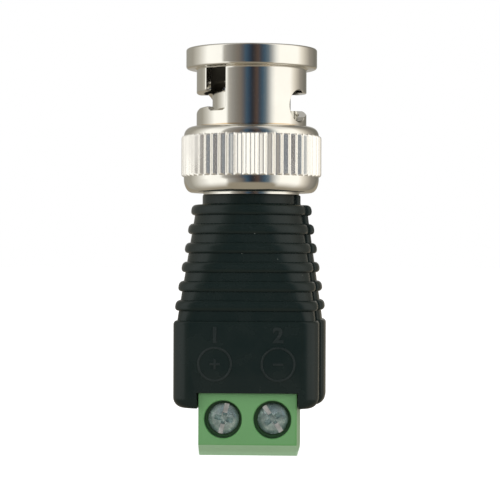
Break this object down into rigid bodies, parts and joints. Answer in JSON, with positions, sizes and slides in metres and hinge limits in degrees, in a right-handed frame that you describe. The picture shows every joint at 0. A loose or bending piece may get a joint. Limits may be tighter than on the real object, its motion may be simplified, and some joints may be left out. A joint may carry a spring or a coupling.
{
  "type": "bnc screw terminal adapter",
  "caption": "Bayonet coaxial plug with a knurled turning nut, on a ribbed tapered plastic housing that holds a two-pole screw terminal block for bare wires",
  "frame": {"origin": "where the coupling axis meets the terminal block's flat base face", "axes": "+Z is the coupling axis, from the terminal block to the mating end. The screw heads face -Y, and +X is to the right when the screw heads face the viewer."},
  "size_m": [0.0153, 0.0144, 0.0417],
  "materials": {
    "plated_brass": "bright nickel plate over turned brass",
    "gilt_brass": "gold flash over turned brass",
    "zinc_steel": "zinc-plated steel",
    "tinned_copper": "tinned copper alloy",
    "black_plastic": "moulded black plastic with a soft sheen",
    "green_plastic": "moulded green plastic, satin",
    "white_resin": "turned white resin",
    "seal_rubber": "moulded seal rubber"
  },
  "bodies": {
    "housing": {"front_shell": "black_plastic", "rear_shell": "black_plastic", "terminal_block": "green_plastic", "contact_bar_left": "tinned_copper", "contact_bar_right": "tinned_copper", "signal_link": "tinned_copper", "ground_link": "tinned_copper", "plug_body": "plated_brass", "outer_contact": "plated_brass", "insulator": "white_resin", "centre_pin": "gilt_brass", "front_gasket": "seal_rubber", "retaining_ring": "plated_brass", "wave_spring": "zinc_steel"},
    "nut_carriage": {"thrust_washer": "zinc_steel"},
    "nut": {"coupling_nut": "plated_brass"},
    "screw_left": {"terminal_screw_left": "zinc_steel"},
    "screw_right": {"terminal_screw_right": "zinc_steel"},
    "clamp_left": {"clamp_cage_left": "zinc_steel"},
    "clamp_right": {"clamp_cage_right": "zinc_steel"}
  },
  "joints": [
    {"name": "nut_slide", "type": "slide", "parent": "housing", "child": "nut_carriage", "axis": [0, 0, 1], "range_m": [0, 0.0006], "stiffness_N_per_m": 400, "springref_m": -0.001, "deforming": ["wave_spring"]},
    {"name": "nut_turn", "type": "hinge", "parent": "nut_carriage", "child": "nut", "pos_m": [0, 0, 0.034], "axis": [0, 0, 1], "continuous": true},
    {"name": "screw_left_turn", "type": "hinge", "parent": "housing", "child": "screw_left", "pos_m": [-0.0025, -0.0043, 0.00373], "axis": [0, 1, 0], "range_deg": [0, 1440]},
    {"name": "screw_right_turn", "type": "hinge", "parent": "housing", "child": "screw_right", "pos_m": [0.0025, -0.0043, 0.00373], "axis": [0, 1, 0], "range_deg": [0, 1440]},
    {"name": "clamp_left_lift", "type": "slide", "parent": "housing", "child": "clamp_left", "axis": [0, -1, 0], "range_m": [0, 0.002]},
    {"name": "clamp_right_lift", "type": "slide", "parent": "housing", "child": "clamp_right", "axis": [0, -1, 0], "range_m": [0, 0.002]}
  ],
  "couplings": [
    {"joint": "screw_left_turn", "follows": "clamp_left_lift", "rad_per_m": 12566},
    {"joint": "screw_right_turn", "follows": "clamp_right_lift", "rad_per_m": 12566}
  ]
}
